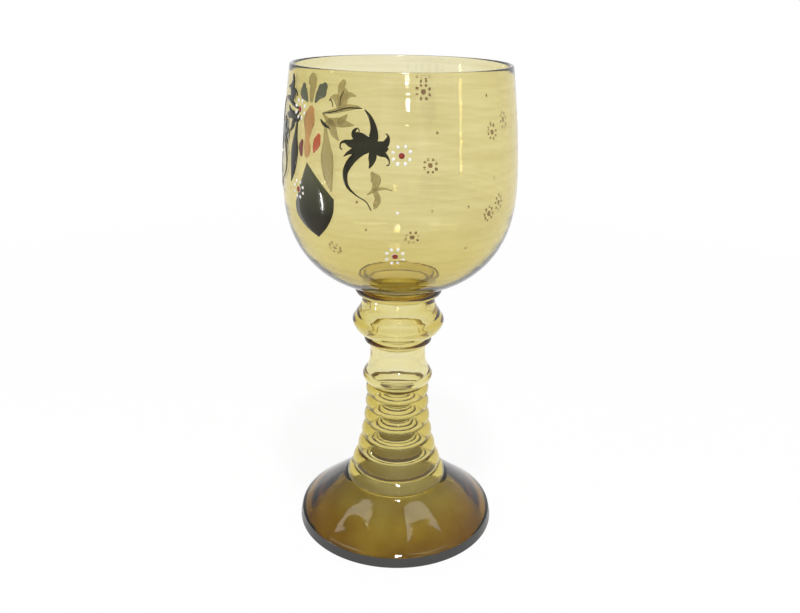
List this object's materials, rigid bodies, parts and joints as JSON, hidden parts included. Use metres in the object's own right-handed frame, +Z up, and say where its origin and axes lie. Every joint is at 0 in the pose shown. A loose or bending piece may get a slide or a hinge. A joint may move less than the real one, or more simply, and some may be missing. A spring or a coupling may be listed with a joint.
{
  "type": "glass goblet",
  "caption": "Stemmed amber glass goblet, bowl painted with dotted flowers, shield and scrolls, hollow knopped stem wound with rings, domed foot.",
  "frame": {"origin": "on the axis, in the plane that the foot stands on", "axes": "+Z up along the axis, from the foot to the rim; -Y faces the front, with the painted crest to the left of it"},
  "size_m": [0.1167, 0.1171, 0.25],
  "materials": {
    "glass": "clear amber glass, fire-polished",
    "enamel_white": "raised white enamel dots round a red centre, glossy",
    "enamel_dark": "dark olive enamel, glossy",
    "enamel_ochre": "thin ochre enamel, satin",
    "enamel_terracotta": "terracotta enamel, satin",
    "enamel_red": "dark red enamel, glossy"
  },
  "bodies": {
    "root": {"bowl": "glass", "upper_collar": "glass", "ring_knop": "glass", "lower_collar": "glass", "stem": "glass", "thread_ring_1": "glass", "thread_ring_2": "glass", "thread_ring_3": "glass", "thread_ring_4": "glass", "thread_ring_5": "glass", "thread_ring_6": "glass", "thread_ring_7": "glass", "foot": "glass", "enamel_shield": "enamel_dark", "enamel_scroll_right": "enamel_dark", "enamel_scroll_left": "enamel_dark", "enamel_mantling_right": "enamel_ochre", "enamel_mantling_left": "enamel_dark", "enamel_tail_leaf_right": "enamel_ochre", "enamel_tail_leaf_left": "enamel_ochre", "enamel_plume": "enamel_ochre", "enamel_lobe_right": "enamel_dark", "enamel_lobe_left": "enamel_dark", "enamel_stalk": "enamel_terracotta", "enamel_bud_right": "enamel_terracotta", "enamel_bud_left": "enamel_red", "enamel_flower_1": "enamel_white", "enamel_flower_2": "enamel_white", "enamel_flower_3": "enamel_white", "enamel_flower_4": "enamel_white", "enamel_flower_5": "enamel_white", "enamel_flower_6": "enamel_white", "enamel_flower_7": "enamel_white", "enamel_flower_8": "enamel_white", "enamel_flower_9": "enamel_white", "enamel_flower_10": "enamel_white", "enamel_flower_11": "enamel_white", "enamel_flower_12": "enamel_white", "enamel_dot_1": "enamel_white", "enamel_dot_2": "enamel_white", "enamel_dot_3": "enamel_white", "enamel_dot_4": "enamel_white", "enamel_dot_5": "enamel_white", "enamel_dot_6": "enamel_white", "enamel_dot_7": "enamel_white", "enamel_dot_8": "enamel_white", "enamel_dot_9": "enamel_white"}
  },
  "joints": []
}
